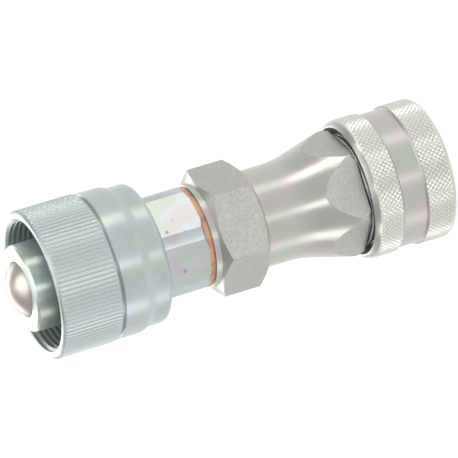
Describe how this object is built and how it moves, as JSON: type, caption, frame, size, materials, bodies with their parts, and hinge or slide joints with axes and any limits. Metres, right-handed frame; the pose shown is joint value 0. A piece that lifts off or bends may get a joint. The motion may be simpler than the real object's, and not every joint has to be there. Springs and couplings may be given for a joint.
{
  "type": "hydraulic quick coupling adapter",
  "caption": "Steel adapter of two hydraulic quick couplings screwed together: a screw-nut plug half with a domed valve, a copper washer and a ball-lock socket half with a pull-back sleeve.",
  "frame": {"origin": "centre of the socket mouth's end face, on the coupling axis", "axes": "+Z along the coupling axis from the socket mouth to the plug's domed valve; -Y is the normal of one flat of the larger hexagon"},
  "size_m": [0.04, 0.04, 0.1209],
  "materials": {
    "zinc_cool": "bluish bright zinc plating, satin with a soft sheen",
    "zinc_warm": "warm yellowish zinc plating, satin, slightly iridescent",
    "copper": "soft copper, slightly tarnished",
    "valve_steel": "turned steel, smooth",
    "ball_steel": "ground and polished",
    "spring_steel": "drawn wire, lightly oiled",
    "ring_steel": "dark spring steel",
    "rubber_black": "smooth oiled rubber",
    "backup_plastic": "smooth, waxy"
  },
  "bodies": {
    "housing": {"socket_body": "zinc_warm", "socket_front_body": "zinc_warm", "body_seal": "rubber_black", "main_seal": "rubber_black", "backup_ring": "backup_plastic", "socket_valve_spring": "spring_steel", "socket_valve_guide": "valve_steel", "sleeve_spring": "spring_steel", "sleeve_stop_ring": "ring_steel", "copper_washer": "copper", "plug_body": "zinc_cool", "plug_nose": "zinc_cool", "nose_seal": "rubber_black", "plug_valve_spring": "spring_steel", "plug_valve_guide": "valve_steel", "guide_ring": "ring_steel", "nut_wire_ring": "spring_steel"},
    "sleeve": {"socket_sleeve": "zinc_warm"},
    "nut": {"coupling_nut": "zinc_cool"},
    "plug_poppet": {"plug_valve": "valve_steel", "plug_valve_seal": "rubber_black"},
    "socket_poppet": {"socket_valve": "valve_steel", "socket_valve_seal": "rubber_black"},
    "ball_1": {"locking_ball_1": "ball_steel"},
    "ball_2": {"locking_ball_2": "ball_steel"},
    "ball_3": {"locking_ball_3": "ball_steel"},
    "ball_4": {"locking_ball_4": "ball_steel"},
    "ball_5": {"locking_ball_5": "ball_steel"},
    "ball_6": {"locking_ball_6": "ball_steel"},
    "ball_7": {"locking_ball_7": "ball_steel"},
    "ball_8": {"locking_ball_8": "ball_steel"}
  },
  "joints": [
    {"name": "nut_spin", "type": "hinge", "parent": "housing", "child": "nut", "pos_m": [0, 0, 0.098], "axis": [0, 0, 1], "continuous": true},
    {"name": "plug_valve_slide", "type": "slide", "parent": "housing", "child": "plug_poppet", "axis": [0, 0, -1], "range_m": [0, 0.0045], "stiffness_N_per_m": 1500, "springref_m": -0.005, "deforming": ["plug_valve_spring"]},
    {"name": "socket_valve_slide", "type": "slide", "parent": "housing", "child": "socket_poppet", "axis": [0, 0, 1], "range_m": [0, 0.0045], "stiffness_N_per_m": 1500, "springref_m": -0.005, "deforming": ["socket_valve_spring"]},
    {"name": "sleeve_slide", "type": "slide", "parent": "housing", "child": "sleeve", "axis": [0, 0, 1], "range_m": [0, 0.0055], "stiffness_N_per_m": 1500, "springref_m": -0.005, "deforming": ["sleeve_spring"]},
    {"name": "ball_1_slide", "type": "slide", "parent": "housing", "child": "ball_1", "axis": [0.9239, 0.3827, 0], "range_m": [0, 0.00072]},
    {"name": "ball_2_slide", "type": "slide", "parent": "housing", "child": "ball_2", "axis": [0.3827, 0.9239, 0], "range_m": [0, 0.00072]},
    {"name": "ball_3_slide", "type": "slide", "parent": "housing", "child": "ball_3", "axis": [-0.3827, 0.9239, 0], "range_m": [0, 0.00072]},
    {"name": "ball_4_slide", "type": "slide", "parent": "housing", "child": "ball_4", "axis": [-0.9239, 0.3827, 0], "range_m": [0, 0.00072]},
    {"name": "ball_5_slide", "type": "slide", "parent": "housing", "child": "ball_5", "axis": [-0.9239, -0.3827, 0], "range_m": [0, 0.00072]},
    {"name": "ball_6_slide", "type": "slide", "parent": "housing", "child": "ball_6", "axis": [-0.3827, -0.9239, 0], "range_m": [0, 0.00072]},
    {"name": "ball_7_slide", "type": "slide", "parent": "housing", "child": "ball_7", "axis": [0.3827, -0.9239, 0], "range_m": [0, 0.00072]},
    {"name": "ball_8_slide", "type": "slide", "parent": "housing", "child": "ball_8", "axis": [0.9239, -0.3827, 0], "range_m": [0, 0.00072]}
  ],
  "couplings": [
    {"joint": "ball_1_slide", "follows": "sleeve_slide", "ratio": 0.1309},
    {"joint": "ball_2_slide", "follows": "sleeve_slide", "ratio": 0.1309},
    {"joint": "ball_3_slide", "follows": "sleeve_slide", "ratio": 0.1309},
    {"joint": "ball_4_slide", "follows": "sleeve_slide", "ratio": 0.1309},
    {"joint": "ball_5_slide", "follows": "sleeve_slide", "ratio": 0.1309},
    {"joint": "ball_6_slide", "follows": "sleeve_slide", "ratio": 0.1309},
    {"joint": "ball_7_slide", "follows": "sleeve_slide", "ratio": 0.1309},
    {"joint": "ball_8_slide", "follows": "sleeve_slide", "ratio": 0.1309}
  ]
}
